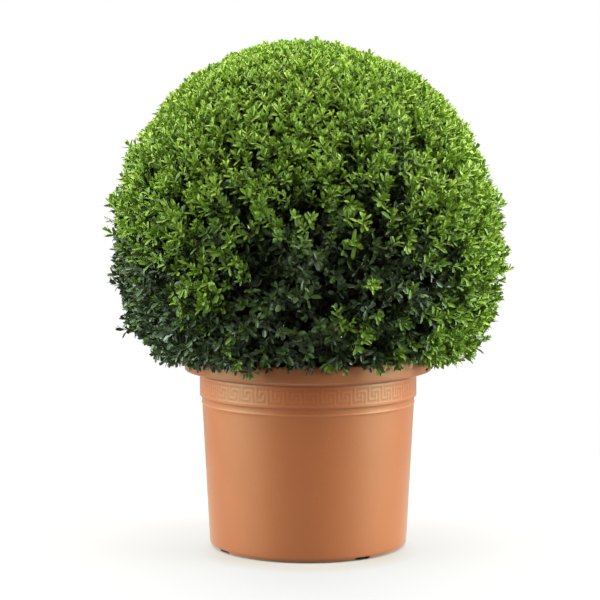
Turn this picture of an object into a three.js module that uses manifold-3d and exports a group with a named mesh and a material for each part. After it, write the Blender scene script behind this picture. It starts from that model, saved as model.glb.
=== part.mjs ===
// A clipped box ball in its round plastic pot.
//
// Units are millimetres, +Z is up, and the origin is the middle of the pot's flat underside.
// Four solids stand inside each other: the pot, the root ball that fills it, the short stem
// that rises from the root ball, and the clipped ball of foliage that hides the pot's mouth.

import * as THREE from 'three';
import { mergeVertices } from 'three/addons/utils/BufferGeometryUtils.js';
import Module from 'manifold-3d';

const wasm = await Module();
wasm.setup();

// ---- driving dimensions ------------------------------------------------------------------

const clearance = 0.3;              // gap between solids that touch
const roundSteps = 56;              // facets round every turned shape

// pot
const potHeight = 294;
const wall = 3;                     // thickness of the moulded wall and floor
const footRadius = 140;             // flat ring that the pot stands on
const cornerRadius = 9;             // rounding between the foot and the wall
const wallRadiusLow = 150.5;        // outside, just above the rounded corner
const wallRadiusHigh = 160;         // outside, just below the band
const bandRadius = 165.5;           // the raised band under the lip
const bandBottom = 219;
const lipBottom = 269.5;
const lipRadiusLow = 186.5;
const lipRadiusHigh = 188.5;
const lipRounding = 2.5;
const panelRadius = 100;            // flat centre of the underside
const channelRadius = 126;          // outer side of the drainage channel under the floor
const channelHeight = 5.5;
const notchCount = 4;
const notchWidth = 26;
const notchAngle = -57.5;           // degrees from +X to the first notch
const drainCount = 8;
const drainRadius = 5.5;
const handHoleRadius = 2.5;         // two small round holes through the lip
const handHoleHeight = 277;
const handHoleAngle = -14;

// root ball and stem
const compostTop = 258;
const stemTop = 345;
const stemRadiusLow = 17;
const stemRadiusHigh = 13;
const flareRadius = 11;             // how far the root flare spreads at the compost
const flareHeight = 9;              // height over which the flare dies away
const flareLobes = 5;
const stemLean = 0.05;              // sideways shift for each unit of height
const stemSteps = 20;

// foliage
const ballRadius = 300;
const ballMiddle = new THREE.Vector3(-2, 0, 467);
const skirtBottom = 279;            // lowest leaves, hanging outside the lip
const skirtRadius = 24;             // rounding at the foot of the ball
const lidHeight = 298;              // underside where it passes over the lip
const mouthDepth = 281;             // underside inside the pot's mouth
const ballRings = 24;
const lopside = 3;                  // the ball is a little longer along one leaning axis
const lopsideTilt = 125;            // degrees from +X, in the XZ plane
const waveCount = 16;               // hollows and swellings that the shears leave
const waveHeight = 1.1;
const waveSlow = 7;
const waveFast = 19;
const calmBelow = 300;              // the unevenness fades out towards the underside
const calmAbove = 350;

// ---- helpers -----------------------------------------------------------------------------

const radians = THREE.MathUtils.degToRad;

// Keeps only the positions, joins shared corners and drops triangles that have no area.
function closedGeometry(geometry) {
  geometry.deleteAttribute('normal');
  geometry.deleteAttribute('uv');
  const merged = mergeVertices(geometry, 1e-3);
  const kept = [];
  for (let i = 0; i < merged.index.count; i += 3) {
    const [a, b, c] = [merged.index.getX(i), merged.index.getX(i + 1), merged.index.getX(i + 2)];
    if (a !== b && b !== c && c !== a) kept.push(a, b, c);
  }
  merged.setIndex(kept);
  return merged;
}

function toSolid(geometry) {
  const merged = closedGeometry(geometry);
  const vertProperties = new Float32Array(merged.attributes.position.array);
  const triVerts = new Uint32Array(merged.index.array);
  return new wasm.Manifold(new wasm.Mesh({ numProp: 3, vertProperties, triVerts }));
}

function toGeometry(solid) {
  const mesh = solid.getMesh();
  const geometry = new THREE.BufferGeometry();
  geometry.setAttribute('position', new THREE.BufferAttribute(mesh.vertProperties, 3));
  geometry.setIndex(new THREE.BufferAttribute(mesh.triVerts, 1));
  geometry.computeVertexNormals();
  return geometry;
}

// Turns a profile of [radius, height] points about the Z axis.
function turned(points, steps = roundSteps) {
  const profile = points.map(([radius, height]) => new THREE.Vector2(radius, height));
  return new THREE.LatheGeometry(profile, steps).rotateX(Math.PI / 2);
}

// Points on an arc, angles in degrees from the outward direction.
function arc(radius, height, size, from, to, steps) {
  const points = [];
  for (let i = 0; i <= steps; i += 1) {
    const angle = radians(from + (to - from) * i / steps);
    points.push([radius + size * Math.cos(angle), height + size * Math.sin(angle)]);
  }
  return points;
}

function named(name, geometry, color, roughness) {
  const material = new THREE.MeshStandardMaterial({ color, roughness, metalness: 0 });
  const mesh = new THREE.Mesh(geometry, material);
  mesh.name = name;
  return mesh;
}

// ---- pot ---------------------------------------------------------------------------------

// The inside of the pot from the middle of the floor up to just under the lip, moved in by gap.
function innerProfile(gap, top) {
  const floor = wall + gap;
  const cornerIn = cornerRadius - wall - gap;
  const ledge = channelHeight + wall + gap;
  return [
    [0, floor],
    [panelRadius - wall - gap, floor],
    [panelRadius - wall - gap, ledge],
    [channelRadius + wall + gap, ledge],
    [channelRadius + wall + gap, floor],
    ...arc(wallRadiusLow - cornerRadius, cornerRadius, cornerIn, -90, 0, 3),
    [wallRadiusHigh - wall - gap, bandBottom - wall],
    [bandRadius - wall - gap, bandBottom + wall],
    [bandRadius - wall - gap, top],
  ];
}

function potGeometry() {
  const outer = [
    [0, 0],
    [panelRadius, 0],
    [panelRadius, channelHeight],
    [channelRadius, channelHeight],
    [channelRadius, 0],
    [footRadius, 0],
    ...arc(wallRadiusLow - cornerRadius, cornerRadius, cornerRadius, -80, 0, 4),
    [wallRadiusHigh, bandBottom - 1],
    [bandRadius, bandBottom + 3],
    [bandRadius, lipBottom - 2],
    [bandRadius + 2, lipBottom],
    [lipRadiusLow, lipBottom],
    ...arc(lipRadiusHigh - lipRounding, potHeight - lipRounding, lipRounding, 0, 90, 3),
    [lipRadiusHigh - wall - 1, potHeight - 1],
    [lipRadiusLow - wall, lipBottom + wall],
  ];
  const inner = innerProfile(0, lipBottom + wall);
  let pot = toSolid(turned([...outer, ...inner.reverse()]));

  const notchDepth = lipRadiusHigh - channelRadius;
  for (let i = 0; i < notchCount; i += 1) {
    const notch = new THREE.BoxGeometry(notchDepth, notchWidth, channelHeight * 2);
    notch.translate(channelRadius - 1 + notchDepth / 2, 0, 0);
    notch.rotateZ(radians(notchAngle + i * 360 / notchCount));
    pot = pot.subtract(toSolid(notch));
  }
  for (let i = 0; i < drainCount; i += 1) {
    const drain = new THREE.CylinderGeometry(drainRadius, drainRadius, wall * 4, 12);
    drain.rotateX(Math.PI / 2);
    drain.translate((panelRadius + channelRadius) / 2, 0, channelHeight + wall / 2);
    drain.rotateZ(radians(notchAngle + (i + 0.5) * 360 / drainCount));
    pot = pot.subtract(toSolid(drain));
  }
  for (const side of [0, 180]) {
    const hole = new THREE.CylinderGeometry(handHoleRadius, handHoleRadius, wall * 4, 12);
    hole.rotateZ(Math.PI / 2);
    hole.translate(lipRadiusLow - wall / 2, 0, handHoleHeight);
    hole.rotateZ(radians(handHoleAngle + side));
    pot = pot.subtract(toSolid(hole));
  }
  return toGeometry(pot);
}

// ---- root ball ---------------------------------------------------------------------------

function rootBallGeometry() {
  const profile = innerProfile(clearance, compostTop);
  return toGeometry(toSolid(turned([...profile, [0, compostTop]])));
}

// ---- stem --------------------------------------------------------------------------------

// A tapering, leaning stem with a lobed root flare, cut flat where it leaves the compost.
// The same shape, grown by gap on every side, cuts the socket in the foliage.
function stemSolid(gap) {
  const bottom = compostTop + clearance - gap;
  const height = stemTop + gap - bottom;
  const rings = 8;
  const points = [[0, bottom]];
  for (let i = 0; i <= rings; i += 1) {
    points.push([1, bottom + height * (i / rings) ** 1.5]);
  }
  points.push([0, bottom + height]);
  const geometry = turned(points, stemSteps);
  const position = geometry.attributes.position;
  for (let i = 0; i < position.count; i += 1) {
    const [x, y, z] = [position.getX(i), position.getY(i), position.getZ(i)];
    const rise = Math.max(0, z - compostTop);
    const share = rise / (stemTop - compostTop);
    const lobe = 1 + 0.35 * Math.cos(flareLobes * Math.atan2(y, x));
    const flare = flareRadius * Math.exp(-rise / flareHeight) * lobe;
    const radius = THREE.MathUtils.lerp(stemRadiusLow, stemRadiusHigh, share) + flare + gap;
    position.setX(i, x * radius + stemLean * rise);
    position.setY(i, y * radius);
  }
  return toSolid(geometry);
}

// ---- foliage -----------------------------------------------------------------------------

// Height of the clipped surface above the mean ball in the direction of a unit vector.
function unevenness(direction) {
  const tilt = radians(lopsideTilt);
  const along = direction.x * Math.cos(tilt) + direction.z * Math.sin(tilt);
  let height = lopside * (2 * along * along - 1);
  for (let i = 0; i < waveCount; i += 1) {
    const share = i / (waveCount - 1);
    const turn = i * Math.PI * (3 - Math.sqrt(5));
    const lift = 1 - 2 * (i + 0.5) / waveCount;
    const flat = Math.sqrt(1 - lift * lift);
    const axis = new THREE.Vector3(Math.cos(turn) * flat, Math.sin(turn) * flat, lift);
    const pitch = THREE.MathUtils.lerp(waveSlow, waveFast, share);
    height += waveHeight * (1 - share / 2) * Math.sin(pitch * direction.dot(axis) + 2 * turn);
  }
  return height;
}

function foliageGeometry() {
  const skirtOut = ballRadius * 0.76;
  const skirtIn = lipRadiusHigh + 12;
  const rim = lipRadiusHigh + 3;
  const mouth = lipRadiusLow - wall - 5;
  const startHeight = skirtBottom + skirtRadius - ballMiddle.z;
  const startAngle = THREE.MathUtils.radToDeg(Math.asin(startHeight / ballRadius));
  const profile = [
    [0, mouthDepth],
    [mouth - 8, mouthDepth],
    [mouth, mouthDepth + 6],
    [mouth, lidHeight],
    [rim, lidHeight],
    [skirtIn, skirtBottom + 3],
    ...arc(skirtOut, skirtBottom + skirtRadius, skirtRadius, -90, -25, 3),
    ...arc(0, ballMiddle.z, ballRadius, startAngle, 90, ballRings),
  ];
  profile[profile.length - 1][0] = 0;
  const geometry = turned(profile);
  const position = geometry.attributes.position;
  const point = new THREE.Vector3();
  const direction = new THREE.Vector3();
  for (let i = 0; i < position.count; i += 1) {
    point.fromBufferAttribute(position, i);
    direction.set(point.x, point.y, point.z - ballMiddle.z).normalize();
    const awake = THREE.MathUtils.smoothstep(point.z, calmBelow, calmAbove);
    point.addScaledVector(direction, unevenness(direction) * awake);
    point.x += ballMiddle.x * awake;
    position.setXYZ(i, point.x, point.y, point.z);
  }
  return toGeometry(toSolid(geometry).subtract(stemSolid(clearance)));
}

// ---- the plant ---------------------------------------------------------------------------

const plant = new THREE.Group();
plant.add(named('pot', potGeometry(), 0xc9784a, 0.45));
plant.add(named('root_ball', rootBallGeometry(), 0x3b2a1e, 0.95));
plant.add(named('stem', toGeometry(stemSolid(0)), 0x8a7a5c, 0.85));
plant.add(named('foliage_ball', foliageGeometry(), 0x4c7a2b, 0.6));

export default plant;
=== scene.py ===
"""A clipped box ball in a terracotta-coloured plastic pot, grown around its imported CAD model.

Everything is in metres in the CAD frame: +Z up, the origin in the middle of the pot's underside.
The pot, the compost, the bark, the twigs and the leaves each have a section of their own.
"""

import math

import bpy
import numpy as np
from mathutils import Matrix, Vector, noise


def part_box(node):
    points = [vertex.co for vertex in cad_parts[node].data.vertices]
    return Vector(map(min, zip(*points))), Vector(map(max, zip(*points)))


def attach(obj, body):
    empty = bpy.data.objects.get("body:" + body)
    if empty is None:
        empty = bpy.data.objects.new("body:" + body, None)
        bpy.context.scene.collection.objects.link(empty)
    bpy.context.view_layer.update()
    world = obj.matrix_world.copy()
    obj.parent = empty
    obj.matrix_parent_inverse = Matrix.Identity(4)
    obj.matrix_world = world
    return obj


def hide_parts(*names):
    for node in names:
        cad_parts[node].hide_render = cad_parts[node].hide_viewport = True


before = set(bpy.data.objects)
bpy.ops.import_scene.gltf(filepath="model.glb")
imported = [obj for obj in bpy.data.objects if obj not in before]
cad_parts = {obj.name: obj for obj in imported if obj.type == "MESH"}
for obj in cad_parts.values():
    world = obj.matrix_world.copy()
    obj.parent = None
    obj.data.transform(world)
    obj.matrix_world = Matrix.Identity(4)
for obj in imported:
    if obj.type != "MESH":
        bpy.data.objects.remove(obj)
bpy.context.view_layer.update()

MM = 0.001
SEED = 147
rng = np.random.default_rng(SEED)
noise.seed_set(SEED)                # otherwise noise_vector starts from the clock

# ---- what the frame says -----------------------------------------

pot_high = np.array(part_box("pot")[1])
soil_low, soil_high = (np.array(corner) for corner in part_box("root_ball"))
stem_low, stem_high = (np.array(corner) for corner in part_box("stem"))

POT_TOP = pot_high[2]
LIP_RADIUS = pot_high[0]
SOIL_TOP = soil_high[2]
SOIL_RADIUS = soil_high[0]

BALL_RADIUS = 300 * MM
BALL_MIDDLE = np.array([-2 * MM, 0, POT_TOP + 173 * MM])


# ---- small helpers -----------------------------------------------

def unit(vectors):
    """The vectors scaled to length one."""
    return vectors / np.maximum(np.linalg.norm(vectors, axis=-1, keepdims=True), 1e-9)


def smooth(low, high, value):
    """0 below low, 1 above high, and a smooth rise between them."""
    share = np.clip((value - low) / (high - low), 0, 1)
    return share * share * (3 - 2 * share)


def toward(azimuth, elevation):
    """The unit vector toward an azimuth and an elevation in degrees."""
    turn, rise = math.radians(azimuth), math.radians(elevation)
    return np.array([math.cos(turn) * math.cos(rise), math.sin(turn) * math.cos(rise), math.sin(rise)])


def angle_from(directions, azimuth, elevation):
    """Degrees between each direction and the one named."""
    return np.degrees(np.arccos(np.clip(directions @ toward(azimuth, elevation), -1, 1)))


def spread_directions(count, lowest):
    """Unit vectors spaced evenly over the sphere, from the top down to z = lowest."""
    index = np.arange(count) + 0.5
    z = 1 - (1 - lowest) * index / count
    turn = index * math.pi * (3 - math.sqrt(5))
    flat = np.sqrt(1 - z * z)
    return np.stack([np.cos(turn) * flat, np.sin(turn) * flat, z], axis=1)


def waves(directions, seed, pitch, count=7):
    """Smooth noise over the sphere, roughly between -1 and 1."""
    draw = np.random.default_rng(seed)
    axes = unit(draw.normal(size=(count, 3)))
    phases = draw.uniform(0, 2 * math.pi, count)
    pitches = pitch * draw.uniform(0.6, 1.4, count)
    total = np.sin(directions @ axes.T * pitches + phases).sum(axis=1)
    return total / math.sqrt(count) * 0.9


def tube_faces(rings, steps):
    """Faces between the rings of a closed tube whose points run ring by ring."""
    index = np.arange(rings * steps).reshape(rings, steps)
    after = np.roll(index, -1, axis=1)
    return np.stack([index[:-1], after[:-1], after[1:], index[1:]], axis=2).reshape(-1, 4)


def make_mesh(name, points, faces, slots=None, materials=(), smooth_shading=True):
    """A mesh object from arrays: faces is a list of (n, sides) arrays, slots one array for each."""
    mesh = bpy.data.meshes.new(name)
    mesh.vertices.add(len(points))
    mesh.vertices.foreach_set("co", np.asarray(points, dtype=np.float32).ravel())
    corners = np.concatenate([block.ravel() for block in faces])
    sizes = np.concatenate([np.full(len(block), block.shape[1]) for block in faces])
    starts = np.concatenate([[0], np.cumsum(sizes)[:-1]])
    mesh.loops.add(len(corners))
    mesh.loops.foreach_set("vertex_index", corners.astype(np.int32))
    mesh.polygons.add(len(sizes))
    mesh.polygons.foreach_set("loop_start", starts.astype(np.int32))
    if slots is not None:
        mesh.polygons.foreach_set("material_index", np.concatenate(slots).astype(np.int32))
    mesh.polygons.foreach_set("use_smooth", np.full(len(sizes), smooth_shading))
    for material in materials:
        mesh.materials.append(material)
    mesh.update(calc_edges=True)
    mesh.validate()
    piece = bpy.data.objects.new(name, mesh)
    bpy.context.scene.collection.objects.link(piece)
    return piece


def apply_modifiers(piece):
    """Replaces the piece's mesh with the result of its modifiers."""
    graph = bpy.context.evaluated_depsgraph_get()
    result = bpy.data.meshes.new_from_object(piece.evaluated_get(graph))
    piece.modifiers.clear()
    piece.data = result


def principled(name, color, roughness, specular=0.5):
    """A material with plain values on its Principled shader."""
    material = bpy.data.materials.new(name)
    material.use_nodes = True
    shader = material.node_tree.nodes["Principled BSDF"]
    shader.inputs["Base Color"].default_value = (*color, 1)
    shader.inputs["Roughness"].default_value = roughness
    shader.inputs["Specular IOR Level"].default_value = specular
    material.diffuse_color = (*color, 1)
    return material


# ---- materials ---------------------------------------------------

def node(material, kind, **inputs):
    """A new shader node, with its inputs set by name."""
    made = material.node_tree.nodes.new(kind)
    for key, value in inputs.items():
        made.inputs[key].default_value = value
    return made


def link(material, source, target):
    material.node_tree.links.new(source, target)


def ramp(material, source, stops):
    """A colour ramp on a value; stops are (position, colour)."""
    made = material.node_tree.nodes.new("ShaderNodeValToRGB")
    while len(made.color_ramp.elements) < len(stops):
        made.color_ramp.elements.new(0.5)
    for element, (position, color) in zip(made.color_ramp.elements, stops):
        element.position = position
        element.color = (*color, 1)
    link(material, source, made.inputs["Fac"])
    return made.outputs["Color"]


def noise_pattern(material, scale, detail, grit):
    """A noise value that follows the place on the piece."""
    made = node(material, "ShaderNodeTexNoise", Scale=scale, Detail=detail, Roughness=grit)
    link(material, node(material, "ShaderNodeNewGeometry").outputs["Position"], made.inputs["Vector"])
    return made.outputs["Fac"]


def relief(material, height, strength, depth):
    """A fine relief on the material's surface."""
    bump = node(material, "ShaderNodeBump", Strength=strength, Distance=depth)
    link(material, height, bump.inputs["Height"])
    link(material, bump.outputs["Normal"], material.node_tree.nodes["Principled BSDF"].inputs["Normal"])


def map_range(material, source, start, result=(0, 1)):
    """A value moved from one range to another; start and result are (low, high)."""
    made = node(material, "ShaderNodeMapRange", **{"From Min": start[0], "From Max": start[1],
                                                   "To Min": result[0], "To Max": result[1]})
    link(material, source, made.inputs["Value"])
    return made


def pot_plastic(name, gain):
    """Satin moulded plastic, terracotta coloured, with a fine grain; gain lightens it, and the lighter copy
    is a painted highlight.
    """
    material = principled(name, (0.535 * gain, 0.119 * gain, 0.029 * gain), 0.49, 1.0)
    shader = material.node_tree.nodes["Principled BSDF"]
    shader.inputs["IOR"].default_value = 1.59
    shader.inputs["Specular Tint"].default_value = (0.52, 1, 0.66, 1)
    shader.inputs["Sheen Weight"].default_value = 0.75
    shader.inputs["Sheen Tint"].default_value = (0.90, 1, 0.84, 1)
    shader.inputs["Sheen Roughness"].default_value = 0.38

    stops = [(0.3, (0.520, 0.115, 0.028)), (0.7, (0.550, 0.123, 0.030))]
    stops = [(position, tuple(value * gain for value in color)) for position, color in stops]
    tone = ramp(material, noise_pattern(material, 9, 4, 0.6), stops)
    specks = [(0.36, (0.82, 0.82, 0.82)), (0.5, (1, 1, 1))]
    fleck = ramp(material, noise_pattern(material, 900, 2, 0.5), specks)
    mixed = node(material, "ShaderNodeMix")
    mixed.data_type = "RGBA"
    mixed.blend_type = "MULTIPLY"
    mixed.inputs["Factor"].default_value = 0.5
    link(material, tone, mixed.inputs[6])
    link(material, fleck, mixed.inputs[7])
    link(material, mixed.outputs[2], shader.inputs["Base Color"])

    rub = [(0.35, (0.455, 0.455, 0.455)), (0.7, (0.53, 0.53, 0.53))]
    link(material, ramp(material, noise_pattern(material, 35, 5, 0.7), rub), shader.inputs["Roughness"])
    relief(material, noise_pattern(material, 1400, 2, 0.6), 0.12, 0.0003)
    return material


def mottle(material, scale, grit, stops, strength, depth):
    """Gives a material a mottled colour, and the relief that goes with it."""
    shader = material.node_tree.nodes["Principled BSDF"]
    pattern = noise_pattern(material, scale, 6, grit)
    link(material, ramp(material, pattern, stops), shader.inputs["Base Color"])
    relief(material, pattern, strength, depth)
    return material


def compost_material():
    """Dark moist peat with paler fibres."""
    stops = [(0.3, (0.012, 0.007, 0.004)), (0.6, (0.05, 0.03, 0.016)), (0.75, (0.13, 0.08, 0.045))]
    material = principled("compost", (0.03, 0.018, 0.01), 0.9, 0.2)
    return mottle(material, scale=160, grit=0.7, stops=stops, strength=0.8, depth=0.002)


def bark_material():
    """Grey-tan fissured bark."""
    stops = [(0.3, (0.07, 0.05, 0.03)), (0.55, (0.22, 0.165, 0.1)), (0.75, (0.36, 0.3, 0.2))]
    material = principled("bark", (0.2, 0.15, 0.09), 0.85, 0.3)
    return mottle(material, scale=220, grit=0.75, stops=stops, strength=0.7, depth=0.001)


# Leaf tints: name, colour, roughness, specular level. The first five are new growth, palest first.
# Then come the dark leaves beneath it, the darkest of them a painted shade for shaded places, and the bluish
# ones of bare places.
LEAF_TINTS = [
    ("leaf_lime_pale", (0.365, 0.505, 0.075), 0.52, 0.34),
    ("leaf_lime", (0.282, 0.425, 0.052), 0.51, 0.34),
    ("leaf_fresh", (0.212, 0.344, 0.038), 0.50, 0.34),
    ("leaf_grass", (0.157, 0.266, 0.029), 0.48, 0.36),
    ("leaf_mid", (0.112, 0.193, 0.024), 0.46, 0.38),
    ("leaf_green", (0.074, 0.128, 0.024), 0.43, 0.42),
    ("leaf_dark_painted_shade", (0.036, 0.054, 0.020), 0.42, 0.40),
    ("leaf_deep", (0.094, 0.152, 0.050), 0.38, 0.50),
    ("leaf_blue", (0.126, 0.174, 0.100), 0.36, 0.62),
    ("leaf_bronze", (0.110, 0.072, 0.026), 0.50, 0.30),
]
FRESH, GREEN, DARK, BLUE, BRONZE = 0, 5, 6, 8, 9


# ---- pot ---------------------------------------------------------

NOTCH_COUNT = 4                     # notches in the foot
NOTCH_SIZE = (70 * MM, 26 * MM, 10.6 * MM)
NOTCH_RADIUS = 160 * MM             # from the pot's axis to the middle of a notch's cutter
NOTCH_ANGLE = -57.5                 # degrees from +X to the first
DRAIN_COUNT = 8
DRAIN_HOLE = 5.5 * MM
DRAIN_RADIUS = 113 * MM
DRAIN_HEIGHT = 7 * MM
SLOT_COUNT = 2                      # small slots through the lip, opposite each other
SLOT_HALF = 2.4 * MM                # half a slot's height
SLOT_STRETCH = 3                    # how many times longer than high
SLOT_RADIUS = 186 * MM
SLOT_HEIGHT = 275 * MM
SLOT_ANGLE = -19
# The bead's faces between these heights take the lighter copy of the plastic: a painted highlight.
BEAD_LOW, BEAD_HIGH = 218.3 * MM, 221.2 * MM
BEAD_INSIDE = 160 * MM              # the bead's faces are further out than this
KEY_COUNT = 42
KEY_STEPS = 4                       # a key is drawn on a grid of four by four
RELIEF = 0.15 * MM                  # how far the key's lines stand out
LINE_HALF = 0.65 * MM               # half the width of a line's flat top
LINE_SLOPE = 0.9 * MM               # the sloping side of a line
KEY_TOP = 259.5 * MM
KEY_BOTTOM = 233.8 * MM
KEY_TURN = math.radians(-91.83)     # where one key starts, from +X
BAND_RADIUS = 164.6 * MM


def arc(radius, height, size, start, stop, steps):
    """Profile points on an arc, angles in degrees from the outward direction."""
    angles = np.radians(np.linspace(start, stop, steps + 1))
    return [(radius + size * math.cos(a), height + size * math.sin(a)) for a in angles]


def key_lines():
    """The line pieces of one key as boxes on its grid: (left, low, right, high)."""
    hook_down = [(0, 1, 0, 4), (0, 1, 2, 1), (2, 1, 2, 2)]
    hook_up = [(3, 0, 3, 3), (1, 3, 3, 3), (1, 2, 1, 3)]
    rails = [(0, 0, 4, 0), (0, 4, 4, 4)]
    return hook_down + hook_up + rails


def key_band():
    """The raised key pattern round the band: points, faces, and 1 for each face on a line, which takes the
    painted highlight.
    """
    columns = KEY_COUNT * KEY_STEPS
    step_angle = 2 * math.pi / columns
    step_height = (KEY_TOP - KEY_BOTTOM) / KEY_STEPS
    edge = LINE_HALF + LINE_SLOPE
    offsets = np.array([-edge, -LINE_HALF, LINE_HALF, edge])

    angles = []
    across = []
    for column in range(columns):
        for offset in offsets:
            angles.append(KEY_TURN + column * step_angle + offset / BAND_RADIUS)
            across.append((column % KEY_STEPS, offset))
    heights = [KEY_BOTTOM - 3.2 * MM]
    upright = [(-1, 0)]
    for row in range(KEY_STEPS + 1):
        for offset in offsets:
            heights.append(KEY_BOTTOM + row * step_height + offset)
            upright.append((row, offset))
    heights.append(KEY_TOP + 3.2 * MM)
    upright.append((KEY_STEPS + 1, 0))

    pitch = step_angle * BAND_RADIUS
    lines = key_lines()
    lines = lines + [(a + KEY_STEPS, b, c + KEY_STEPS, d) for a, b, c, d in lines]
    lines = lines + [(a - KEY_STEPS, b, c - KEY_STEPS, d) for a, b, c, d in key_lines()]
    raised = np.zeros((len(heights), len(angles)))
    reach = LINE_HALF * 1.01
    for j, (row, lift) in enumerate(upright):
        z = row * step_height + lift
        for i, (column, shift) in enumerate(across[:KEY_STEPS * len(offsets)]):
            x = column * pitch + shift
            for left, low, right, high in lines:
                inside_x = left * pitch - reach <= x <= right * pitch + reach
                inside_z = low * step_height - reach <= z <= high * step_height + reach
                if inside_x and inside_z:
                    raised[j, i::KEY_STEPS * len(offsets)] = 1
    radius = BAND_RADIUS + RELIEF * raised
    angle = np.array(angles)[None, :]
    height = np.array(heights)[:, None] + 0 * angle
    points = np.stack([radius * np.cos(angle), radius * np.sin(angle), height], axis=2)
    faces = tube_faces(*raised.shape)
    on_line = (raised.ravel()[faces].max(axis=1) > 0).astype(int)
    return points.reshape(-1, 3), faces, on_line


def turned(profile, steps):
    """Points and faces of a profile turned about the Z axis; it runs from axis to axis."""
    radius = np.array([max(r, 0) for r, _ in profile])
    height = np.array([h for _, h in profile])
    angle = np.arange(steps) * 2 * math.pi / steps
    x = radius[:, None] * np.cos(angle)
    y = radius[:, None] * np.sin(angle)
    points = np.stack([x, y, height[:, None] + 0 * x], axis=2)
    return points.reshape(-1, 3), tube_faces(len(radius), steps)


def pot_profile():
    """The closed outline of the pot's wall, from the middle of the underside round to the floor."""
    wall = 3
    outside = [
        (0.01, 0), (60, 0), (99, 0), (100, 1), (100, 4.5), (101, 5.5), (125, 5.5), (126, 4.5),
        (126, 1), (127, 0), (139, 0),
        *arc(141.5, 9, 9, -75, 0, 6),
    ]
    wall_rows = 16
    for i in range(1, wall_rows + 1):
        share = i / wall_rows
        outside.append((150.5 + 10.1 * share, 9 + 202 * share))
    outside += [
        (160.8, 214), (161.0, 217), (161.4, 218.4),
        *arc(161.2, 219.8, 0.9, -45, 75, 5),
        (161.3, 221.6), (161.2, 223.0), (161.3, 227), (161.8, 229.6),
        (163.2, 231.2), (164.1, 232.2),
        (163.9, 233), (163.9, 261), (163.6, 261.8), (163.8, 262.8), (165.4, 264.4), (168.2, 266.6),
        (171.5, 268.2), (176, 269.3), (184.6, 269.3),
        *arc(185.4, 271.2, 1.9, -75, 0, 4),
        (187.6, 276), (187.9, 282), (188.2, 288),
        *arc(185.9, 291.7, 2.3, 0, 90, 6),
        *arc(185.4, 292.0, 1.6, 100, 180, 3),
        (183.6, 286), (183.5, 274.5), (182.5, 272.8), (165, 272.4), (162.2, 270.5), (161.6, 266),
        (161.2, 236), (158.6, 229), (157.2, 215), (147.6, 12),
        *arc(141.5, 9, 6, 0, -75, 4),
    ]
    inside = [(130, wall), (129, 8.5), (98, 8.5), (97, wall), (0.01, wall)]
    return [(r * MM, h * MM) for r, h in outside + inside]


def cutters_round(name, points, face_blocks, radius, height, start, count):
    """One mesh that cuts the same opening several times round the pot."""
    placed = points + np.array([radius, 0, height])
    copies = [spun(placed, math.radians(start + 360 / count * i)) for i in range(count)]
    faces = [np.concatenate([block + len(points) * i for i in range(count)]) for block in face_blocks]
    piece = make_mesh(name, np.concatenate(copies), faces, smooth_shading=False)
    piece.hide_render = True
    return piece


def box_points(length, width, height):
    signs = np.array([(x, y, z) for z in (-1, 1) for y in (-1, 1) for x in (-1, 1)])
    faces = np.array([(0, 2, 3, 1), (4, 5, 7, 6), (0, 1, 5, 4), (2, 6, 7, 3), (0, 4, 6, 2), (1, 3, 7, 5)])
    return signs * np.array([length, width, height]) / 2, faces


def rod_points(radius, length, sides=24):
    """A closed rod along X."""
    angle = np.arange(sides) * 2 * math.pi / sides
    ring = np.stack([0 * angle, radius * np.cos(angle), radius * np.sin(angle)], axis=1)
    points = np.concatenate([ring - [length / 2, 0, 0], ring + [length / 2, 0, 0]])
    index = np.arange(sides)
    after = (index + 1) % sides
    walls = np.stack([index, after, after + sides, index + sides], axis=1)
    ends = np.stack([index[::-1], index + sides])
    return points, walls, ends


def spun(points, angle):
    """Points turned about Z by an angle in radians."""
    c, s = math.cos(angle), math.sin(angle)
    return points @ np.array([[c, s, 0], [-s, c, 0], [0, 0, 1]])


def build_pot(material, painted_highlight):
    points, faces = turned(pot_profile(), 168)
    pot = make_mesh("pot_body", points, [faces], materials=[material])
    notch_points, notch_faces = box_points(*NOTCH_SIZE)
    slot_points, *rod_faces = rod_points(SLOT_HALF, 14 * MM)
    slot_points = slot_points * np.array([1, SLOT_STRETCH, 1])
    drain_points = rod_points(DRAIN_HOLE, 12 * MM)[0][:, [1, 2, 0]]
    first_drain = NOTCH_ANGLE + 180 / DRAIN_COUNT
    cutters = [
        cutters_round("cut_notches", notch_points, [notch_faces], NOTCH_RADIUS, 0, NOTCH_ANGLE, NOTCH_COUNT),
        cutters_round("cut_hand_holes", slot_points, rod_faces, SLOT_RADIUS, SLOT_HEIGHT, SLOT_ANGLE,
                      SLOT_COUNT),
        cutters_round("cut_drains", drain_points, rod_faces, DRAIN_RADIUS, DRAIN_HEIGHT, first_drain,
                      DRAIN_COUNT),
    ]
    for tool in cutters:
        cut = pot.modifiers.new(tool.name, "BOOLEAN")
        cut.object = tool
        cut.operation = "DIFFERENCE"
        cut.solver = "EXACT"
    apply_modifiers(pot)
    for tool in cutters:
        bpy.data.objects.remove(tool)
    pot.data.materials.clear()
    pot.data.materials.append(material)
    pot.data.materials.append(painted_highlight)
    # The bead's faces take the lighter copy of the plastic: a painted highlight where its top catches the
    # light.
    for polygon in pot.data.polygons:
        polygon.use_smooth = True
        x, y, z = polygon.center
        polygon.material_index = int(BEAD_LOW < z < BEAD_HIGH and math.hypot(x, y) > BEAD_INSIDE)
    pot.data.set_sharp_from_angle(angle=math.radians(38))

    band_points, band_faces, on_line = key_band()
    # The key's raised lines take the lighter copy of the plastic: a painted highlight.
    band = make_mesh("pot_key_band", band_points, [band_faces], [on_line], [material, painted_highlight])
    band.data.set_sharp_from_angle(angle=math.radians(60))
    return pot, band


# ---- compost -----------------------------------------------------

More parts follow.
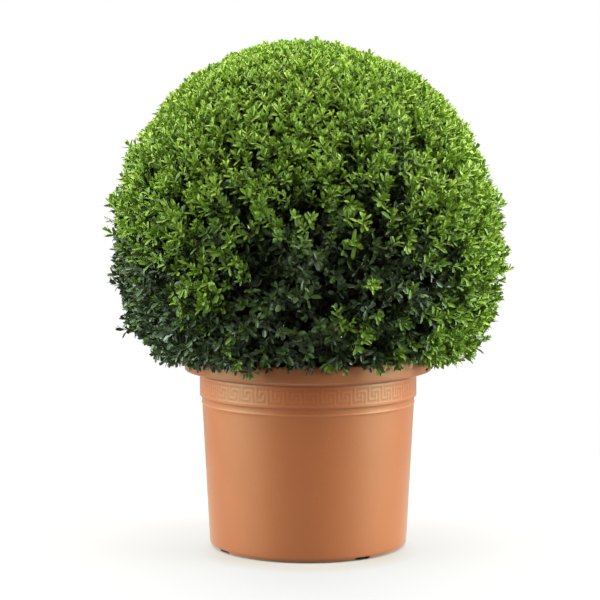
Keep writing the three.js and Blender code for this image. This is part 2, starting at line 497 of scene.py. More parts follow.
def build_compost(material):
    """The root ball: a lumpy top of peat, and plain sides against the pot's wall."""
    rings, steps = 46, 120
    radius = SOIL_RADIUS - 0.4 * MM
    profile = [(radius * (1 - 0.999 * i / rings), SOIL_TOP - 6 * MM) for i in range(rings + 1)]
    low = soil_low[2] + 1 * MM
    body = [(0.01 * MM, low), (137 * MM, low), (146 * MM, 14 * MM), (radius - 6 * MM, 214 * MM),
            (radius - 4 * MM, 228 * MM), (radius, 240 * MM)]
    points, faces = turned(body + profile, steps)
    top = points[:, 2] > SOIL_TOP - 7 * MM
    for i in np.nonzero(top)[0]:
        x, y = points[i, 0], points[i, 1]
        lumps = noise.fractal(Vector((x, y, 0)) * 45, 0.9, 2.2, 6)
        fade = smooth(radius, radius - 8 * MM, math.hypot(x, y))
        points[i, 2] += 5.5 * MM * float(np.clip(0.75 + lumps, 0, 1.3)) * fade / 1.3
    return make_mesh("compost", points, [faces], materials=[material])


# ---- limbs -------------------------------------------------------

def sweep(paths, radii, sides):
    """Tubes along many paths at once: paths (n, k, 3), radii (n, k)."""
    count, steps, _ = paths.shape
    tangent = unit(np.gradient(paths, axis=1))
    overall = unit(paths[:, -1] - paths[:, 0])
    aside = np.where(np.abs(overall[:, 2:3]) < 0.8, [[0, 0, 1.0]], [[1.0, 0, 0]])
    first = unit(np.cross(tangent, aside[:, None, :]))
    second = np.cross(tangent, first)
    angle = np.arange(sides) * 2 * math.pi / sides
    ring = (first[:, :, None, :] * np.cos(angle)[:, None] + second[:, :, None, :] * np.sin(angle)[:, None])
    points = paths[:, :, None, :] + ring * radii[:, :, None, None]
    index = np.arange(count * steps * sides).reshape(count, steps, sides)
    after = np.roll(index, -1, axis=2)
    faces = np.stack([index[:, :-1], after[:, :-1], after[:, 1:], index[:, 1:]], axis=3)
    return points.reshape(-1, 3), faces.reshape(-1, 4)


def joined_tubes(blocks):
    """Many sets of tubes as one set of points and a list of faces: (paths, radii, sides) for each."""
    points, faces, used = [], [], 0
    for paths, radii, sides in blocks:
        block_points, block_faces = sweep(paths, radii, sides)
        points.append(block_points)
        faces.append(block_faces + used)
        used += len(block_points)
    return np.concatenate(points), faces


def curved(start, start_way, end, end_way, steps):
    """Smooth paths (n, steps, 3) that leave along start_way and arrive along end_way."""
    reach = np.linalg.norm(end - start, axis=1, keepdims=True)
    handle_a = start + start_way * reach * 0.4
    handle_b = end - end_way * reach * 0.35
    t = np.linspace(0, 1, steps)[None, :, None]
    a, b, c, d = (v[:, None, :] for v in (start, handle_a, handle_b, end))
    return (1 - t) ** 3 * a + 3 * (1 - t) ** 2 * t * b + 3 * (1 - t) * t * t * c + t ** 3 * d


LOPSIDE = 3                         # mm; the ball is a little longer along one leaning axis
LOPSIDE_TILT = math.radians(125)    # from +X, in the XZ plane
WAVE_COUNT = 16                     # hollows and swellings that the shears leave
WAVE_HEIGHT = 1.1                   # mm
WAVE_SLOW, WAVE_FAST = 7, 19


def unevenness(directions):
    """Height of the clipped surface over the mean ball, the same rule as the CAD solid's."""
    along = directions[:, 0] * math.cos(LOPSIDE_TILT) + directions[:, 2] * math.sin(LOPSIDE_TILT)
    height = LOPSIDE * (2 * along * along - 1)
    for i in range(WAVE_COUNT):
        share = i / (WAVE_COUNT - 1)
        turn = i * math.pi * (3 - math.sqrt(5))
        lift = 1 - 2 * (i + 0.5) / WAVE_COUNT
        flat = math.sqrt(1 - lift * lift)
        axis = np.array([math.cos(turn) * flat, math.sin(turn) * flat, lift])
        pitch = WAVE_SLOW + (WAVE_FAST - WAVE_SLOW) * share
        height = height + WAVE_HEIGHT * (1 - share / 2) * np.sin(pitch * (directions @ axis) + 2 * turn)
    return height * MM


# Where the growth stands fuller or thinner than the even ball: azimuth, elevation, half angle, mm.
BULGES = [
    (0, -30, 17, 16), (0, -3, 11, 12), (0, 10, 5, 12), (0, 31, 8, 4), (180, 14, 13, 7), (180, 11, 5, 4),
    (180, -18, 6, -14), (180, -24, 6, 16), (180, -38, 7, -5), (0, 78, 16, -3), (180, 82, 12, 6),
]
SKIRT_HEIGHT = 281 * MM             # the lowest sprays outside the lip
LID_HEIGHT = 291 * MM               # the lowest sprays over the pot's mouth


def surface_radius(directions):
    """Distance from the ball's middle to its clipped surface, or to its flat underside."""
    radius = BALL_RADIUS + unevenness(directions)
    for azimuth, elevation, size, height in BULGES:
        near = angle_from(directions, azimuth, elevation)
        radius = radius + height * MM * smooth(size * 1.6, size * 0.3, near)
    down = np.maximum(-directions[:, 2], 1e-3)
    to_skirt = (BALL_MIDDLE[2] - SKIRT_HEIGHT) / down
    out = to_skirt * np.hypot(directions[:, 0], directions[:, 1])
    to_lid = (BALL_MIDDLE[2] - LID_HEIGHT) / down
    flat = np.where(out > LIP_RADIUS + 6 * MM, to_skirt, to_lid)
    return np.minimum(radius, flat)


def nearest(points, targets):
    """For each point, the index of its nearest target."""
    found = []
    for block in np.array_split(points, max(1, len(points) // 1000)):
        gaps = ((block[:, None, :] - targets[None, :, :]) ** 2).sum(axis=2)
        found.append(gaps.argmin(axis=1))
    return np.concatenate(found)


# Each order of branching: how many limbs, how far out they reach, thickness at both ends.
ORDERS = [
    {"count": 8, "reach": 0.36, "thick": (8.0, 6.5), "sides": 12, "steps": 14, "stray": 0.10},
    {"count": 46, "reach": 0.58, "thick": (5.2, 3.8), "sides": 8, "steps": 9, "stray": 0.06},
    {"count": 330, "reach": 0.71, "thick": (2.9, 2.0), "sides": 5, "steps": 5, "stray": 0.03},
    {"count": 2000, "reach": 0.80, "thick": (1.5, 1.1), "sides": 4, "steps": 3, "stray": 0.014},
]
LOWEST_LIMB = -0.60


def grow_limbs():
    """Branches out from the stem's fork, order by order. Each limb grows from its nearest parent."""
    fork = np.array([[(stem_low[0] + stem_high[0]) / 2, (stem_low[1] + stem_high[1]) / 2, stem_high[2]]])
    ends = fork - np.array([[0, 0, 12 * MM]])
    ways = np.array([[0.05, 0, 1.0]])
    limbs = []
    for order in ORDERS:
        directions = spread_directions(order["count"], LOWEST_LIMB)
        directions = unit(directions + rng.normal(size=directions.shape) * order["stray"] * 1.6)
        reach = order["reach"] * (1 + rng.normal(size=len(directions)) * order["stray"])
        radius = surface_radius(directions) * np.clip(reach, 0, 0.9)
        tips = BALL_MIDDLE + directions * radius[:, None]
        tips[:, 2] = np.maximum(tips[:, 2], POT_TOP + 14 * MM)
        parent = nearest(tips, ends)
        tip_ways = unit(directions + [0, 0, 0.25] + rng.normal(size=directions.shape) * 0.12)
        leave = unit(ways[parent] + unit(tips - ends[parent]))
        paths = curved(ends[parent], leave, tips, tip_ways, order["steps"])
        thick = np.linspace(order["thick"][0], order["thick"][1], order["steps"]) * MM
        spread = 1 + rng.normal(size=(len(tips), 1)) * 0.12
        limbs.append((paths, thick[None, :] * spread, order["sides"]))
        ends, ways = tips, tip_ways
    return limbs, ends, ways


# ---- sprays ------------------------------------------------------

# Last year's leaves cover the whole ball. The new shoots stand out of them, thick on top and
# thin low down on the left and in a few patches: azimuth, elevation, half angle, how bare of new
# shoots, and how open down to the dark inside.
OLD_PATCHES = [
    (-56, -12, 15, 0.62, 0.50), (-57, 8, 8, 0.50, 0.35), (-92, -18, 24, 0.50, 0.62),
    (-87, 1, 22, 0.34, 0.74), (-98, -14, 20, 0.15, 0.45), (118, -12, 22, 0.62, 0.50),
    (60, -28, 22, 0.55, 0.40), (20, -20, 14, 0.25, 0.20), (150, 14, 12, 0.40, 0.40),
    (-42, -18, 17, 0.38, 0.24), (-62, -36, 13, 0.60, 0.45), (-124, -3, 15, 0.34, 0.28),
    (-75, -37, 11, 0.55, 0.40), (-57, 33, 9, 0.20, 0.35),
]
# How each kind of spray grows. Leaf length in mm, and width as a share of it; then for each pair of
# leaves its place from the tip in mm, its opening in degrees, its size and its template. The depths
# in mm are how far a spray lies back in a hollow or a gap, and how far a stray one stands out.
SPRAY_HABITS = {
    "inner": {
        "leaf": 19.0, "ratio": 0.50, "tumble": 0.22, "places": [1.5, 9.0, 17.0, 26.0, 36.0, 48.0, 60.0],
        "angles": [40, 60, 70, 75, 78, 78, 78], "sizes": [0.95, 1.0, 1.05, 1.05, 1.05, 1.1, 1.1],
        "templates": [2, 2, 2, 2, 2, 2, 2],
    },
    "old": {
        "count": 5000, "lowest": -0.80, "leaf": 14.3, "ratio": 0.43, "lift": 0.75, "scatter": 0.42,
        "tumble": 0.36, "hollow_depth": 8, "gap_depth": 26, "strays": 0.10, "stray_reach": 15,
        "places": [1.0, 6.5, 12.5, 19.0, 27.0], "angles": [18, 36, 50, 58, 64],
        "sizes": [0.72, 0.98, 1.06, 1.06, 1.06], "templates": [0, 0, 0, 1, 1],
    },
    "new": {
        "count": 9700, "lowest": -0.78, "leaf": 13.2, "ratio": 0.385, "lift": 1.45, "scatter": 0.25,
        "tumble": 0.17, "hollow_depth": 9, "gap_depth": 14, "strays": 0.09, "stray_reach": 12,
        "places": [1.0, 4.2, 8.8, 13.8, 19.6, 26.0], "angles": [12, 28, 39, 47, 53, 58],
        "sizes": [0.62, 0.90, 1.02, 1.04, 1.0, 0.98], "templates": [0, 0, 0, 1, 1, 1],
    },
}
LEAF_REACH = 10 * MM                # how far the tip leaves stand out past their twig
NEW_GROWTH = 20 * MM                # how far the new shoots stand out over last year's leaves
TWIG_RISE = 12 * MM                 # a twig starts at a limb end this far below its tip
LONGEST_TWIG = 75 * MM
TWIG_STEPS = 3
TWIG_SIDES = 3
TWIG_THICK = (0.85, 0.45)           # mm, half the thickness at the limb and at the tip
BUNCHING = 0.30                     # how far the new shoots are drawn to the limb they grow from


def patchy(directions, which):
    """How strongly one of the two marks of the old patches shows, from 0 to 1."""
    left = np.ones(len(directions))
    for azimuth, elevation, size, *marks in OLD_PATCHES:
        near = angle_from(directions, azimuth, elevation) + 5 * waves(directions, 17, 20)
        left = left * (1 - marks[which] * smooth(size * 1.45, size * 0.45, near))
    return 1 - left


def new_growth(directions):
    """The share of new shoots over each part of the ball, from 0, none, to 1, all."""
    line = -0.60 - 0.80 * directions[:, 0]
    share = smooth(-0.36, 0.30, directions[:, 2] - line + 0.17 * waves(directions, 5, 9))
    return share * (1 - patchy(directions, 0))


def openness(directions):
    """How open the ball is down to its dark inside, from 0, closed, to 1."""
    return patchy(directions, 1)


def grow_sprays(kind, ends, ways):
    """One spray for each clipped tip of a kind: its twig, and how deep it lies."""
    habit = SPRAY_HABITS[kind]
    directions = spread_directions(habit["count"], habit["lowest"])
    directions = unit(directions + rng.normal(size=directions.shape) * 0.012)
    calm = smooth(0.40, 0.88, directions[:, 2])
    hollow = smooth(0.1, 1.0, waves(directions, 11, 24, 9)) * (1 - calm)
    under = smooth(-0.5, -0.62, directions[:, 2])
    flat_out = np.hypot(directions[:, 0], directions[:, 1]) * surface_radius(directions)
    kept = (under < 0.9) | (flat_out > 150 * MM)
    if kind == "old":
        kept &= rng.random(len(directions)) > 0.55 * openness(directions)
    else:
        wanted = 0.08 + (0.56 + 0.36 * calm) * new_growth(directions) - 0.35 * hollow
        wanted = wanted - 0.22 * openness(directions)
        kept &= rng.random(len(directions)) < wanted
        limb_ways = unit(ends - BALL_MIDDLE)
        owner = limb_ways[nearest(directions, limb_ways)]
        directions = unit(directions + BUNCHING * (owner - directions) * (1 - calm)[:, None])
    directions, calm, hollow, under = directions[kept], calm[kept], hollow[kept], under[kept]
    count = len(directions)

    share, gap = new_growth(directions), openness(directions)
    loose = np.abs(rng.normal(size=count))
    tuft = 2.6 * waves(directions, 31, 42, 12) * (1 - 0.6 * calm)
    if kind == "new":
        depth = tuft + (1.2 + 6 * (1 - calm)) * loose
        free = 1 - 0.6 * calm
    else:
        depth = share * NEW_GROWTH / MM + 6 * loose
        free = 1 - share
    sink = depth + habit["hollow_depth"] * hollow + habit["gap_depth"] * gap * rng.random(count)
    stray = rng.random(count) < habit["strays"]
    sink = sink - stray * rng.uniform(2, habit["stray_reach"], count) * free
    tips = BALL_MIDDLE + directions * (surface_radius(directions) - LEAF_REACH - sink * MM)[:, None]

    lift = np.array([0, 0, 1.0]) * (habit["lift"] * (1 - 1.1 * under))[:, None]
    tip_ways = unit(directions + lift + rng.normal(size=directions.shape) * habit["scatter"])
    parent = nearest(tips - [0, 0, TWIG_RISE], ends)
    start = ends[parent]
    far = np.linalg.norm(tips - start, axis=1, keepdims=True)
    start = np.where(far > LONGEST_TWIG, tips - (tips - start) / far * LONGEST_TWIG, start)
    leave = unit(ways[parent] + unit(tips - start) * 1.5)
    paths = curved(start, leave, tips, tip_ways, 12)
    # New shoots are tinted paler at the ball's left and right sides, painted light where the side softboxes
    # fall, and paler toward the upper right, darker toward the upper left; old leaves turn toward bluer tints
    # on the underside.
    upper_right_lift = 0.3 * directions[:, 0] * smooth(-0.1, 0.4, directions[:, 2])
    pale = 0.7 * directions[:, 0] ** 2 + upper_right_lift if kind == "new" else -0.6 * under
    return {"kind": kind, "paths": paths, "share": share, "gap": gap, "pale": pale, "splay": 1 + 0.35 * calm}


def leafy_limbs(limbs):
    """The thinner limbs as sprays of their own, for the leaves deep inside, tinted dark as painted shade."""
    return [{"kind": "inner", "paths": paths, "splay": 1} for paths, _, _ in limbs]


def along_path(paths, back):
    """Places and directions at a distance back from each path's tip."""
    steps = np.linalg.norm(np.diff(paths, axis=1), axis=2)
    from_tip = np.concatenate([np.cumsum(steps[:, ::-1], axis=1)[:, ::-1], np.zeros((len(paths), 1))], axis=1)
    place = np.zeros((len(paths), 3))
    way = np.zeros((len(paths), 3))
    inside = back < from_tip[:, 0]
    for k in range(paths.shape[1] - 1):
        here = inside & (from_tip[:, k] >= back) & (from_tip[:, k + 1] <= back)
        share = (from_tip[:, k] - back) / np.maximum(steps[:, k], 1e-9)
        spot = paths[:, k] + (paths[:, k + 1] - paths[:, k]) * share[:, None]
        place[here] = spot[here]
        way[here] = unit(paths[:, k + 1] - paths[:, k])[here]
    return place, way, inside


# A leaf lies along X with its base at the origin, one unit long, and its half width about one half.
FULL_LEAF = {
    "points": np.array([
        (0.52, 0.00, -0.05), (0.00, 0.00, 0.00), (0.20, -0.27, 0.07), (0.52, -0.47, 0.14),
        (0.86, -0.38, 0.09), (1.00, 0.00, 0.00), (0.86, 0.38, 0.09), (0.52, 0.47, 0.14),
        (0.20, 0.27, 0.07),
    ]),
    "faces": np.array([(0, 1 + i, 1 + (i + 1) % 8) for i in range(8)]),
    "midrib": [(0, 1), (0, 5)],
}
PLAIN_LEAF = {
    "points": np.array([
        (0.50, 0.00, -0.05), (0.00, 0.00, 0.00), (0.32, -0.42, 0.12), (0.80, -0.43, 0.11),
        (1.00, 0.00, 0.00), (0.80, 0.43, 0.11), (0.32, 0.42, 0.12),
    ]),
    "faces": np.array([(0, 1 + i, 1 + (i + 1) % 6) for i in range(6)]),
    "midrib": [(0, 1), (0, 4)],
}
DEEP_LEAF = {
    "points": np.array([
        (0.00, 0.00, 0.00), (0.52, 0.00, -0.05), (1.00, 0.00, -0.02), (0.50, -0.49, 0.14),
        (0.50, 0.49, 0.14),
    ]),
    "faces": np.array([(0, 3, 1), (3, 2, 1), (2, 4, 1), (4, 0, 1)]),
    "midrib": [(0, 1), (1, 2)],
}
TEMPLATES = [FULL_LEAF, PLAIN_LEAF, DEEP_LEAF]


def leaf_mesh(leaves, template):
    """Points and faces of many leaves from one template."""
    shape = template["points"]
    length, width = leaves["length"][:, None, None], leaves["width"][:, None, None]
    ahead, aside, above = (leaves[way][:, None, :] for way in ("ahead", "aside", "above"))
    curl = leaves["curl"][:, None, None] * shape[None, :, 0:1] ** 2
    points = (leaves["base"][:, None, :]
              + ahead * shape[None, :, 0:1] * length
              + aside * shape[None, :, 1:2] * width
              + above * (shape[None, :, 2:3] * width - curl * length))
    count = len(shape)
    offset = (np.arange(len(points)) * count)[:, None, None]
    faces = template["faces"][None, :, :] + offset
    return points.reshape(-1, 3), faces.reshape(-1, 3)


def pick_tints(sprays, level, tone):
    """The tint of one leaf on every spray: new shoots pale at the tip, old leaves dark, with painted light on
    the ball's sides and painted shade in shaded places.
    """
    count = len(tone)
    wander = rng.normal(size=count)
    if sprays["kind"] == "new":
        # In open gaps new shoots take darker tints: painted shade.
        tint = FRESH + 1.4 + 0.36 * level + 0.60 * tone + 0.4 * wander + 0.9 * (1 - sprays["share"])
        # The pale shift makes new shoots paler at the ball's sides: painted light.
        tint = np.clip(tint + 0.8 * sprays["gap"] - sprays["pale"], FRESH, GREEN)
    elif sprays["kind"] == "old":
        # Under new shoots and in open gaps old leaves stay near the darkest tints: painted shade.
        tint = DARK - 0.3 + 0.85 * tone + 0.5 * wander + 1.3 * (1 - sprays["share"]) * (1 - sprays["gap"])
        tint = np.clip(tint - sprays["pale"], GREEN, BLUE)
    else:
        # Leaves deep inside all take the darkest tint: painted shade.
        tint = np.full(count, DARK)
    tint = np.round(tint).astype(int)
    tint[rng.random(count) < 0.0015] = BRONZE
    return tint


def grow_leaves(sprays):
    """Opposite pairs of leaves along every spray, as arrays ready for the templates."""
    habit = SPRAY_HABITS[sprays["kind"]]
    paths = sprays["paths"]
    count = len(paths)
    turn0 = rng.uniform(0, math.pi, count)
    spray_size = habit["leaf"] * (1 + 0.12 * rng.normal(size=count)) * MM
    tone = rng.normal(size=count)
    rows = []
    for level, back in enumerate(habit["places"]):
        template = habit["templates"][level]
        spaced = back * MM * (1 + 0.1 * rng.normal(size=count))
        place, way, inside = along_path(paths, np.maximum(spaced, 0.5 * MM))
        helper = np.where(np.abs(way[:, 2:3]) < 0.9, [[0, 0, 1.0]], [[1.0, 0, 0]])
        side_a = unit(np.cross(way, helper))
        side_b = np.cross(way, side_a)
        for half in (0, 1):
            tints = pick_tints(sprays, level, tone)
            turn = turn0 + level * math.pi / 2 + half * math.pi + rng.normal(size=count) * 0.28
            radial = side_a * np.cos(turn)[:, None] + side_b * np.sin(turn)[:, None]
            opening = math.radians(habit["angles"][level]) * sprays["splay"] + rng.normal(size=count) * 0.15
            ahead = way * np.cos(opening)[:, None] + radial * np.sin(opening)[:, None]
            above = way * np.sin(opening)[:, None] - radial * np.cos(opening)[:, None]
            above = above + [0, 0, 0.30] + rng.normal(size=(count, 3)) * habit["tumble"]
            ahead = unit(ahead + rng.normal(size=(count, 3)) * 0.08)
            above = unit(above - ahead * (above * ahead).sum(axis=1, keepdims=True))
            aside = np.cross(above, ahead)
            length = spray_size * habit["sizes"][level] * (1 + 0.08 * rng.normal(size=count))
            ratio = habit["ratio"] * (1 + 0.09 * rng.normal(size=count))
            keep = inside & (rng.random(count) < 0.97)
            rows.append({
                "base": place[keep], "ahead": ahead[keep], "above": above[keep], "aside": aside[keep],
                "length": length[keep], "width": (length * ratio)[keep],
                "curl": (0.10 + 0.08 * rng.normal(size=count))[keep],
                "tint": tints[keep], "template": np.full(keep.sum(), template),
                "azimuth": np.arctan2(place[keep, 1], place[keep, 0]),
            })
    return {key: np.concatenate([row[key] for row in rows]) for key in rows[0]}


PIECE_LIMIT = 190000                # triangles in one piece


def crease_midribs(mesh, blocks):
    """Marks every midrib sharp. blocks: (first point, leaf count, template) for each kind of leaf."""
    ends = np.empty(len(mesh.edges) * 2, dtype=np.int32)
    mesh.edges.foreach_get("vertices", ends)
    ends = np.sort(ends.reshape(-1, 2), axis=1)
    sharp = np.zeros(len(ends), dtype=bool)
    for first, count, template in blocks:
        size = len(template["points"])
        mine = (ends[:, 0] >= first) & (ends[:, 0] < first + count * size)
        local = (ends - first) % size
        for a, b in template["midrib"]:
            sharp |= mine & (local[:, 0] == a) & (local[:, 1] == b)
    mesh.attributes.new("sharp_edge", "BOOLEAN", "EDGE").data.foreach_set("value", sharp)


def build_leaves(leaves, materials):
    """Leaf pieces, one for each sector of the ball, each kind of leaf by its own template."""
    faces_each = np.array([len(template["faces"]) for template in TEMPLATES])[leaves["template"]]
    total = faces_each.sum()
    sectors = int(math.ceil(total / PIECE_LIMIT))
    order = np.argsort(leaves["azimuth"], kind="stable")
    share = np.cumsum(faces_each[order]) / total
    sector = np.empty(len(order), dtype=int)
    sector[order] = np.minimum((share * sectors).astype(int), sectors - 1)
    pieces = []
    for number in range(sectors):
        all_points, all_faces, all_slots, blocks, used = [], [], [], [], 0
        for kind, template in enumerate(TEMPLATES):
            pick = (leaves["template"] == kind) & (sector == number)
            part = {key: value[pick] for key, value in leaves.items()}
            points, faces = leaf_mesh(part, template)
            all_points.append(points)
            all_faces.append(faces + used)
            all_slots.append(np.repeat(part["tint"], len(template["faces"])))
            blocks.append((used, pick.sum(), template))
            used += len(points)
        name = f"leaves_{number + 1}"
        piece = make_mesh(name, np.concatenate(all_points), all_faces, all_slots, materials)
        crease_midribs(piece.data, blocks)
        pieces.append(piece)
    return pieces


def build_twigs(limbs, spray_sets, material_bark, material_green):
    """Fine twigs: the last two orders of limbs and every spray's own twig, green on new shoots."""
    blocks = list(limbs)
    green = [0] * len(blocks)
    for sprays in spray_sets:
        pick = np.linspace(0, sprays["paths"].shape[1] - 1, TWIG_STEPS).round().astype(int)
        thin = np.linspace(*TWIG_THICK, TWIG_STEPS)[None, :] * MM * np.ones((len(sprays["paths"]), 1))
        blocks.append((sprays["paths"][:, pick], thin, TWIG_SIDES))
        green.append(int(sprays["kind"] == "new"))
    points, faces = joined_tubes(blocks)
    slots = [np.full(len(block), slot) for block, slot in zip(faces, green)]
    return make_mesh("twigs", points, faces, slots, [material_bark, material_green])


def roughened(points, size, depth):
    """Bark relief: points pushed by fine noise."""
    moved = points.copy()
    for i, point in enumerate(points):
        push = noise.noise_vector(Vector(point) * size)
        moved[i] += np.array(push) * depth
    return moved


def build_boughs(limbs, material):
    """The thick boughs, with bark relief."""
    points, faces = joined_tubes(limbs)
    return make_mesh("boughs", roughened(points, 260, 0.7 * MM), faces, materials=[material])


STEM_RADIUS_LOW, STEM_RADIUS_HIGH = 17, 13      # mm
STEM_LEAN = 0.05                    # sideways shift for each unit of height
FLARE_RADIUS = 11 * MM              # how far the root flare spreads at the compost
FLARE_HEIGHT = 9 * MM               # height over which the flare dies away
FLARE_LOBES = 5


def build_stem(material):
    """The stem with its lobed root flare and grooved bark."""
    steps, sides = 48, 40
    low, high = SOIL_TOP - 2 * MM, stem_high[2] + 4 * MM
    height = np.linspace(low, high, steps)
    rise = np.maximum(height - SOIL_TOP, 0)
    share = rise / (stem_high[2] - SOIL_TOP)
    angle = np.arange(sides) * 2 * math.pi / sides
    lobes = 1 + 0.35 * np.cos(FLARE_LOBES * angle)[None, :]
    flare = FLARE_RADIUS * np.exp(-rise / FLARE_HEIGHT)[:, None] * lobes
    taper = (STEM_RADIUS_LOW - (STEM_RADIUS_LOW - STEM_RADIUS_HIGH) * share)[:, None] * MM
    closing = smooth(high, high - 5 * MM, height)[:, None]
    radius = (taper + flare - 0.6 * MM) * np.maximum(closing, 0.02)
    x = radius * np.cos(angle) + STEM_LEAN * rise[:, None]
    y = radius * np.sin(angle)
    stem_points = np.stack([x, y, height[:, None] + 0 * x], axis=2).reshape(-1, 3)
    for i, point in enumerate(stem_points):
        groove = noise.fractal(Vector((point[0] * 160, point[1] * 160, point[2] * 35)), 0.8, 2.1, 4)
        outward = unit(np.array([point[0], point[1], 0]))
        stem_points[i] += outward * groove * 1.1 * MM
    return make_mesh("stem_bark", stem_points, [tube_faces(steps, sides)], materials=[material])


# ---- stage -------------------------------------------------------

FLOOR_LIT = 0.60                    # the share of glow in the floor's look beside the pot
FLOOR_CAST = 0.29                   # how much of its glow the floor throws on the plant
FLOOR_GLOSS = 0.08                  # how much of it shines back from glossy surfaces
FLOOR_SHADOW = (0.25, 1.1)          # metres from the axis: where the shadow starts to fade, and ends
UNDER_POT = (0.142, 0.150)          # metres from the axis: no glow inside the first, all outside the second
PAINTED_POT_BOUNCE = (0.957, 0.886, 0.786)   # the floor's glow just in front of the pot's foot, tinted with the pot's colour: a painted bounce
PAINTED_POT_BOUNCE_MIDDLE = (0, -0.05, 0)
PAINTED_POT_BOUNCE_FADE = (0.135, 0.167)     # metres from that middle
COOL, WARM, WHITE = (0.89, 1.0, 1.0), (1.0, 0.93, 0.80), (1, 1, 1)

# Each soft light: name, place, what it points at, width, height, watts, colour.
LIGHTS = [
    ("left_softbox", (-1.87, -0.38, 1.0), (0, 0, 0.40), 1.8, 1.7, 74, COOL),
    ("right_softbox", (1.87, -0.36, 1.0), (0, 0, 0.40), 1.4, 1.7, 79, COOL),
    ("front_top_softbox", (0, -0.75, 2.2), (0, 0, 0.45), 1.6, 1.6, 27, WARM),
    ("top_softbox", (0, 0.15, 2.3), (0, 0, 0.5), 2.4, 2.0, 44, WARM),
    ("back_top_softbox", (0, 1.0, 2.1), (0, 0, 0.5), 3.0, 2.0, 89, WARM),
]
WHITE_SWEEP = ("white_sweep", (0, 1.8, 0.9), (0, 0, 0.9), 4.8, 1.8, 28, WHITE)

CAMERA_PLACE = (-12.4 * MM, -3.06, 653.1 * MM)
CAMERA_TILT = 0.0911                # radians below level
LENS = 121.5                        # mm, on a sensor 36 mm wide
FLOOR_HALF = 12


def area_light(name, place, target, width, height, power, color):
    lamp = bpy.data.lights.new(name, "AREA")
    lamp.shape = "RECTANGLE"
    lamp.size = width
    lamp.size_y = height
    lamp.energy = power
    lamp.color = color
    holder = bpy.data.objects.new(name, lamp)
    holder.location = place
    holder.rotation_euler = (Vector(target) - Vector(place)).to_track_quat("-Z", "Y").to_euler()
    bpy.context.scene.collection.objects.link(holder)
    return holder


def build_world():
    """White behind the plant as the camera sees it; it gives no light of its own."""
    world = bpy.data.worlds.new("studio")
    bpy.context.scene.world = world
    world.use_nodes = True
    nodes, links = world.node_tree.nodes, world.node_tree.links
    seen = nodes["Background"]
    seen.inputs["Color"].default_value = (1, 1, 1, 1)
    path = nodes.new("ShaderNodeLightPath")
    links.new(path.outputs["Is Camera Ray"], seen.inputs["Strength"])


def floor_material():
    """A lit white studio floor: mostly a glow for the camera, with a faint shadow around the pot.

    Under the pot it has no glow, so the notches in the foot look dark. Just in front of the foot its glow
    takes a little of the pot's colour, a painted bounce of light from the pot.
    """
    material = principled("floor", (0.42, 0.42, 0.42), 0.6, 0.2)
    tree = material.node_tree
    place = node(material, "ShaderNodeNewGeometry").outputs["Position"]
    away = node(material, "ShaderNodeVectorMath")
    away.operation = "LENGTH"
    link(material, place, away.inputs[0])
    lit = map_range(material, away.outputs["Value"], FLOOR_SHADOW, (FLOOR_LIT, 1))
    lit.interpolation_type = "SMOOTHSTEP"
    open_floor = map_range(material, away.outputs["Value"], UNDER_POT)
    share = node(material, "ShaderNodeMath")
    share.operation = "MULTIPLY"
    link(material, lit.outputs["Result"], share.inputs[0])
    link(material, open_floor.outputs["Result"], share.inputs[1])

    glow = node(material, "ShaderNodeEmission")
    # A painted bounce: the glow takes the pot's colour just in front of its foot.
    near = node(material, "ShaderNodeVectorMath")
    near.operation = "DISTANCE"
    near.inputs[1].default_value = PAINTED_POT_BOUNCE_MIDDLE
    link(material, place, near.inputs[0])
    tint = node(material, "ShaderNodeCombineColor")
    for channel, least in zip(("Red", "Green", "Blue"), PAINTED_POT_BOUNCE):
        fade = map_range(material, near.outputs["Value"], PAINTED_POT_BOUNCE_FADE, (least, 1))
        link(material, fade.outputs["Result"], tint.inputs[channel])
    link(material, tint.outputs["Color"], glow.inputs["Color"])

    path = node(material, "ShaderNodeLightPath")
    cast = map_range(material, path.outputs["Is Glossy Ray"], (0, 1), (FLOOR_CAST, FLOOR_GLOSS))
    power = map_range(material, path.outputs["Is Camera Ray"], (0, 1))
    link(material, cast.outputs["Result"], power.inputs["To Min"])
    link(material, power.outputs["Result"], glow.inputs["Strength"])
    mix = node(material, "ShaderNodeMixShader")
    link(material, share.outputs["Value"], mix.inputs["Fac"])
    link(material, tree.nodes["Principled BSDF"].outputs["BSDF"], mix.inputs[1])
    link(material, glow.outputs["Emission"], mix.inputs[2])
    link(material, mix.outputs["Shader"], tree.nodes["Material Output"].inputs["Surface"])
    return material


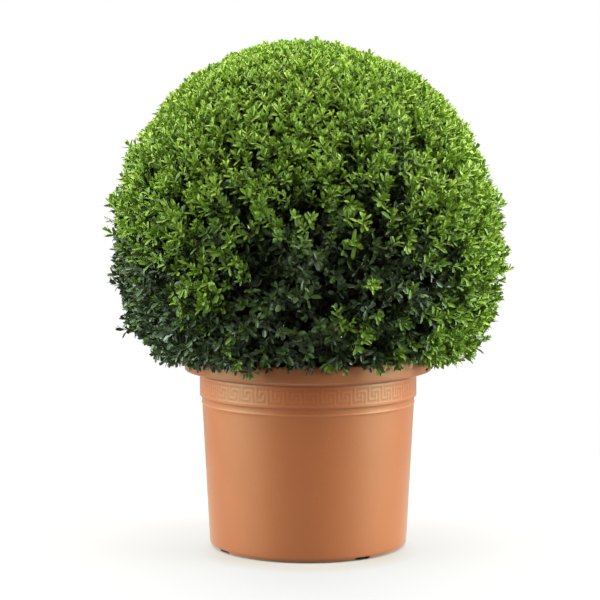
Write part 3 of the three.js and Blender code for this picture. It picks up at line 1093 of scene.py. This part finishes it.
def build_stage():
    """A pale floor, soft lights on three sides, and the camera."""
    half = FLOOR_HALF
    points = np.array([(-half, -half, 0), (half, -half, 0), (half, half, 0), (-half, half, 0)], dtype=float)
    floor = make_mesh("floor", points, [np.array([(0, 1, 2, 3)])], materials=[floor_material()])
    build_world()
    for light in LIGHTS:
        area_light(*light)
    area_light(*WHITE_SWEEP).visible_camera = False

    lens = bpy.data.cameras.new("camera")
    lens.lens = LENS
    lens.sensor_width = 36
    camera = bpy.data.objects.new("camera", lens)
    camera.location = CAMERA_PLACE
    camera.rotation_euler = (math.pi / 2 - CAMERA_TILT, 0, 0)
    bpy.context.scene.collection.objects.link(camera)
    bpy.context.scene.camera = camera
    bpy.context.scene.view_settings.view_transform = "Standard"


# ---- everything together -----------------------------------------

def main():
    build_stage()
    # The second, lighter copy of the plastic is a painted highlight on the key's lines and the bead.
    plastic, painted_highlight = pot_plastic("pot_plastic", 1.0), pot_plastic("pot_plastic_painted_highlight", 1.13)
    peat, bark = compost_material(), bark_material()
    leaf_materials = [principled(*tint) for tint in LEAF_TINTS]
    twig_brown = principled("twig_brown", (0.16, 0.11, 0.06), 0.8, 0.3)
    twig_green = principled("twig_green", (0.13, 0.17, 0.05), 0.6, 0.4)

    for piece in build_pot(plastic, painted_highlight):
        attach(piece, "root")
        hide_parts("pot")
    compost = build_compost(peat)
    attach(compost, "root")
    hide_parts("root_ball")

    limbs, ends, ways = grow_limbs()
    boughs = build_boughs(limbs[:2], bark)
    stem = build_stem(bark)
    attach(stem, "root")
    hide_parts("stem")
    spray_sets = [grow_sprays(kind, ends, ways) for kind in ("old", "new")]
    leaf_sets = [grow_leaves(sprays) for sprays in leafy_limbs(limbs[1:]) + spray_sets]
    leaves = {key: np.concatenate([leaf_set[key] for leaf_set in leaf_sets]) for key in leaf_sets[0]}
    pieces = build_leaves(leaves, leaf_materials)
    twigs = build_twigs(limbs[2:], spray_sets, twig_brown, twig_green)
    for piece in [boughs, twigs]:
        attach(piece, "root")
        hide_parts("foliage_ball")
    for piece in pieces:
        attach(piece, "root")
        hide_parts("foliage_ball")


main()
